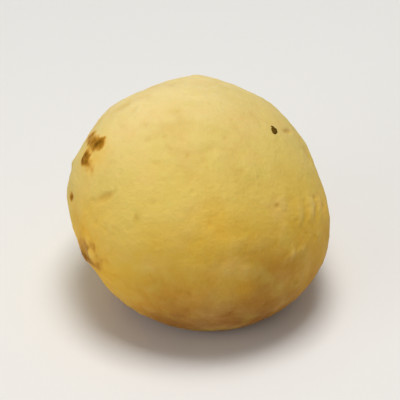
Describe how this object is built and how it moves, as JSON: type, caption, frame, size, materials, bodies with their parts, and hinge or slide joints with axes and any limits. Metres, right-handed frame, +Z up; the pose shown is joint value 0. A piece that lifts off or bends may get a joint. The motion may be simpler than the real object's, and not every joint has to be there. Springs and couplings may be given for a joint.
{
  "type": "pao de queijo cheese ball",
  "caption": "Small round cheese bread of baked tapioca dough: a smooth pale yellow ball, slumped a little to one side, with toasted cheese spots and a flat browned base.",
  "frame": {"origin": "on the flat base, under the middle of the ball", "axes": "+Z up from the surface it rests on; +X towards the side that the ball slumped to; -Y towards the side seen in the picture"},
  "size_m": [0.0555, 0.0565, 0.0467],
  "materials": {
    "crust": "thin baked crust, matte to satin, pale cream on top and deeper yellow lower down, with golden and brown toasted cheese spots and a browned base"
  },
  "bodies": {
    "root": {"cheese_ball": "crust"}
  },
  "joints": []
}
